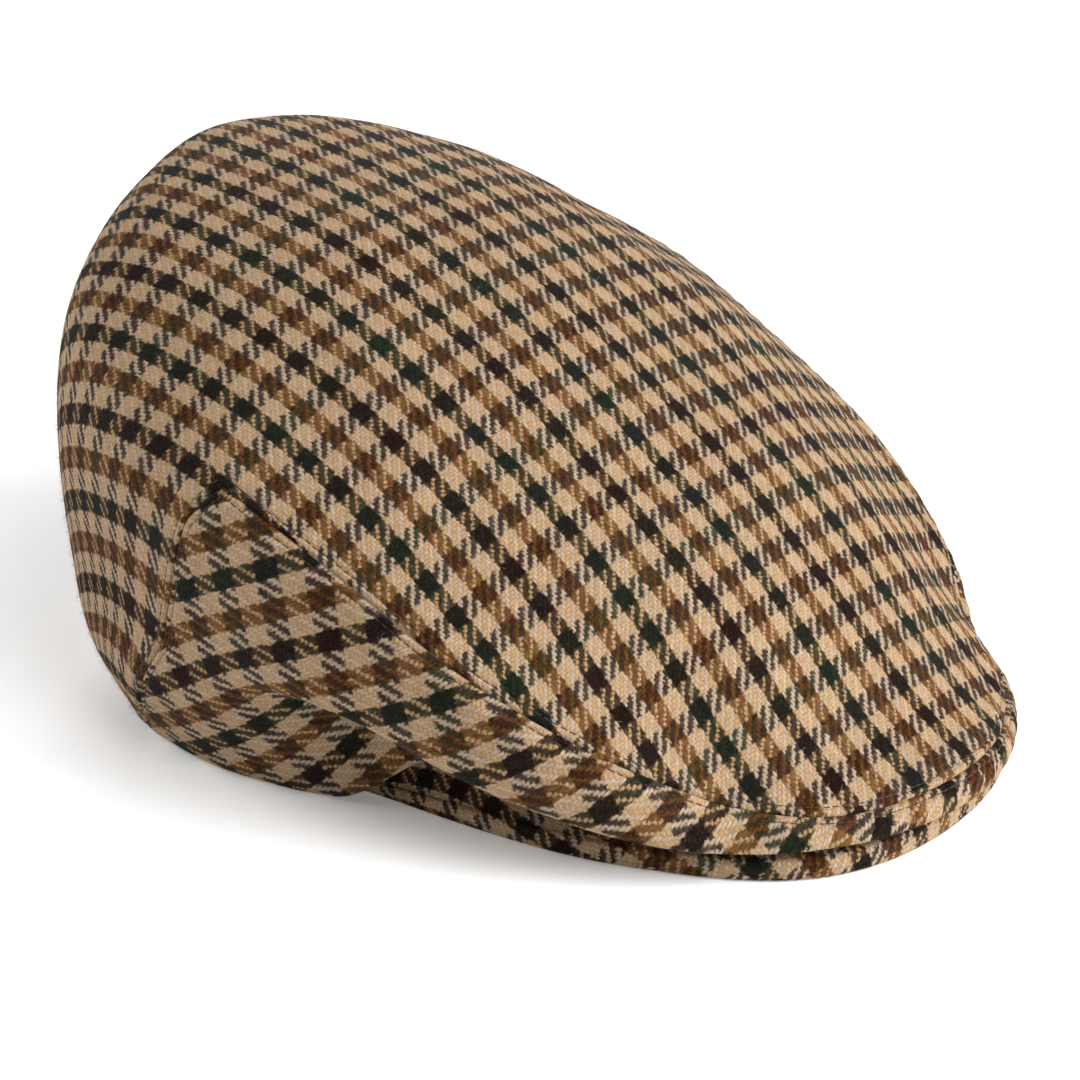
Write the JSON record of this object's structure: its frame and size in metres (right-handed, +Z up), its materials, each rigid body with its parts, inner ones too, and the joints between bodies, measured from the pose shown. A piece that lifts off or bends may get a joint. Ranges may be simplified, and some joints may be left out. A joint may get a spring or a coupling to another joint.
{
  "type": "flat cap",
  "caption": "Woollen check flat cap with a domed crown that slopes to the front, seamed side panels that fold over a short stiff peak, and an open head hollow.",
  "frame": {"origin": "centre of the footprint of the bounding box, on the table top", "axes": "+Y points to the back of the cap and -Y to its peak, +X is the wearer's left, +Z is up"},
  "size_m": [0.2144, 0.2678, 0.143],
  "materials": {
    "top_panel": "twilled wool check in cream, browns and dark green, matt",
    "side_panel_right": "twilled wool check in cream, browns and dark green, matt",
    "side_panel_left": "twilled wool check in cream, browns and dark green, matt",
    "peak": "twilled wool check in cream, browns and dark green, matt"
  },
  "bodies": {
    "root": {"top_panel": "top_panel", "side_panel_right": "side_panel_right", "side_panel_left": "side_panel_left", "peak": "peak"}
  },
  "joints": []
}
